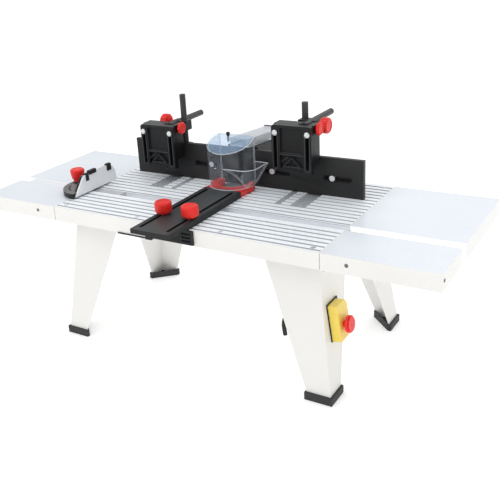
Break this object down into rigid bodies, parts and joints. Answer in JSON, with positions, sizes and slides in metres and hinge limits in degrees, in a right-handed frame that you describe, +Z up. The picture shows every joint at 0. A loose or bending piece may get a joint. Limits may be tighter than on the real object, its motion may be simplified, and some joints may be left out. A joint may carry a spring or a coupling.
{
  "type": "router table",
  "caption": "Benchtop router table with ribbed top, side wings, splayed legs, sliding fence with feather hold-downs, clear bit guard and mitre gauge.",
  "frame": {"origin": "centre of the bit opening, level with the working surface", "axes": "+X to the right along the table's length, +Y to the back towards the fence, +Z up"},
  "size_m": [0.842, 0.422, 0.405],
  "materials": {
    "ribbed_aluminium": "ribbed, brushed",
    "cream_paint": "satin powder coat",
    "pale_blue_paint": "satin powder coat",
    "grey_plastic": "moulded",
    "bright_steel": "bright zinc and chrome",
    "rod_steel": "dark coated rod",
    "black_plastic": "moulded",
    "black_steel": "satin black paint",
    "rubber": "moulded",
    "yellow_plastic": "moulded",
    "red_plastic": "moulded",
    "clear_plastic": "clear moulded plastic",
    "gauge_aluminium": "extruded, anodised",
    "steel_bar": "ground"
  },
  "bodies": {
    "frame": {"table_top": "ribbed_aluminium", "table_apron": "cream_paint", "bit_ring": "grey_plastic", "top_screws": "bright_steel", "wing_left": "pale_blue_paint", "wing_right": "pale_blue_paint", "wing_bolts": "bright_steel", "leg_front_left": "cream_paint", "leg_front_right": "cream_paint", "leg_back_left": "cream_paint", "leg_back_right": "cream_paint", "foot_front_left": "rubber", "foot_front_right": "rubber", "foot_back_left": "rubber", "foot_back_right": "rubber", "leg_bolts": "bright_steel", "switch_plate": "black_plastic", "switch_box": "yellow_plastic", "switch_cable": "rubber", "arm_bracket": "black_plastic", "arm_studs": "bright_steel"},
    "stop_button": {"stop_button": "red_plastic"},
    "guard": {"guard_arm": "black_steel", "guard_base": "red_plastic", "guard_shield": "clear_plastic"},
    "guard_thumbscrew": {"guard_thumbscrew": "black_plastic"},
    "arm_knob_left": {"arm_knob_left": "red_plastic"},
    "arm_knob_right": {"arm_knob_right": "red_plastic"},
    "fence": {"fence_base": "black_plastic", "fence_studs": "bright_steel", "face_bolts": "bright_steel", "dust_duct": "clear_plastic", "dust_port": "black_plastic", "post_left": "rod_steel", "post_right": "rod_steel"},
    "fence_face_left": {"fence_face_left": "black_steel"},
    "fence_face_right": {"fence_face_right": "black_steel"},
    "fence_knob_left": {"fence_knob_left": "red_plastic"},
    "fence_knob_right": {"fence_knob_right": "red_plastic"},
    "clamp_left": {"clamp_left": "black_plastic"},
    "clamp_right": {"clamp_right": "black_plastic"},
    "clamp_knob_left": {"clamp_knob_left": "red_plastic"},
    "clamp_knob_right": {"clamp_knob_right": "red_plastic"},
    "carrier_left": {"carrier_left": "black_plastic", "bar_left": "rod_steel", "feather_bolts_left": "bright_steel"},
    "carrier_right": {"carrier_right": "black_plastic", "bar_right": "rod_steel", "feather_bolts_right": "bright_steel"},
    "feather_left": {"feather_left": "black_plastic"},
    "feather_right": {"feather_right": "black_plastic"},
    "carrier_knob_left": {"carrier_knob_left": "red_plastic"},
    "carrier_knob_right": {"carrier_knob_right": "red_plastic"},
    "mitre_bar": {"mitre_bar": "steel_bar", "mitre_stud": "bright_steel"},
    "mitre_head": {"mitre_head": "black_plastic", "mitre_face": "gauge_aluminium", "mitre_clips": "black_plastic"},
    "mitre_knob": {"mitre_knob": "red_plastic"}
  },
  "joints": [
    {"name": "fence_slide", "type": "slide", "parent": "frame", "child": "fence", "axis": [0, 1, 0], "range_m": [-0.005, 0.018]},
    {"name": "fence_face_left_slide", "type": "slide", "parent": "fence", "child": "fence_face_left", "axis": [1, 0, 0], "range_m": [-0.0108, 0.0034]},
    {"name": "fence_face_right_slide", "type": "slide", "parent": "fence", "child": "fence_face_right", "axis": [1, 0, 0], "range_m": [-0.0034, 0.0108]},
    {"name": "fence_knob_left_turn", "type": "hinge", "parent": "fence", "child": "fence_knob_left", "pos_m": [-0.142, 0.06, 0], "axis": [0, 0, 1], "continuous": true},
    {"name": "clamp_left_slide", "type": "slide", "parent": "fence", "child": "clamp_left", "axis": [0, 0, 1], "range_m": [-0.016, 0.04]},
    {"name": "clamp_knob_left_turn", "type": "hinge", "parent": "clamp_left", "child": "clamp_knob_left", "pos_m": [-0.1345, 0.04, 0.1015], "axis": [1, 0, 0], "continuous": true},
    {"name": "bar_left_slide", "type": "slide", "parent": "clamp_left", "child": "carrier_left", "axis": [0, 1, 0], "range_m": [-0.022, 0.001]},
    {"name": "feather_left_slide", "type": "slide", "parent": "carrier_left", "child": "feather_left", "axis": [0, 0, 1], "range_m": [-0.001, 0.03]},
    {"name": "carrier_knob_left_turn", "type": "hinge", "parent": "carrier_left", "child": "carrier_knob_left", "pos_m": [-0.1165, 0.014, 0.098], "axis": [1, 0, 0], "continuous": true},
    {"name": "arm_knob_left_turn", "type": "hinge", "parent": "frame", "child": "arm_knob_left", "pos_m": [-0.0265, -0.171, 0.011], "axis": [0, 0, 1], "continuous": true},
    {"name": "fence_knob_right_turn", "type": "hinge", "parent": "fence", "child": "fence_knob_right", "pos_m": [0.142, 0.06, 0], "axis": [0, 0, 1], "continuous": true},
    {"name": "clamp_right_slide", "type": "slide", "parent": "fence", "child": "clamp_right", "axis": [0, 0, 1], "range_m": [-0.031, 0.02]},
    {"name": "clamp_knob_right_turn", "type": "hinge", "parent": "clamp_right", "child": "clamp_knob_right", "pos_m": [0.1345, 0.04, 0.1165], "axis": [1, 0, 0], "continuous": true},
    {"name": "bar_right_slide", "type": "slide", "parent": "clamp_right", "child": "carrier_right", "axis": [0, 1, 0], "range_m": [-0.022, 0.001]},
    {"name": "feather_right_slide", "type": "slide", "parent": "carrier_right", "child": "feather_right", "axis": [0, 0, 1], "range_m": [-0.001, 0.03]},
    {"name": "carrier_knob_right_turn", "type": "hinge", "parent": "carrier_right", "child": "carrier_knob_right", "pos_m": [0.1545, 0.014, 0.1175], "axis": [1, 0, 0], "continuous": true},
    {"name": "arm_knob_right_turn", "type": "hinge", "parent": "frame", "child": "arm_knob_right", "pos_m": [0.0245, -0.171, 0.011], "axis": [0, 0, 1], "continuous": true},
    {"name": "guard_slide", "type": "slide", "parent": "frame", "child": "guard", "axis": [0, 1, 0], "range_m": [-0.06, 0.003]},
    {"name": "thumbscrew_turn", "type": "hinge", "parent": "guard", "child": "guard_thumbscrew", "pos_m": [-0.013, 0.013, 0.09], "axis": [0, 0, 1], "continuous": true},
    {"name": "mitre_slide", "type": "slide", "parent": "frame", "child": "mitre_bar", "axis": [1, 0, 0], "range_m": [-0.1, 0.015]},
    {"name": "mitre_head_swing", "type": "hinge", "parent": "mitre_bar", "child": "mitre_head", "pos_m": [-0.277, -0.0925, 0.005], "axis": [0, 0, 1], "range_deg": [-45, 45]},
    {"name": "mitre_knob_turn", "type": "hinge", "parent": "mitre_bar", "child": "mitre_knob", "pos_m": [-0.277, -0.0925, 0.015], "axis": [0, 0, 1], "continuous": true},
    {"name": "stop_button_push", "type": "slide", "parent": "frame", "child": "stop_button", "axis": [0.9905, 0, 0.1376], "range_m": [-0.003, 0], "stiffness_N_per_m": 200}
  ]
}
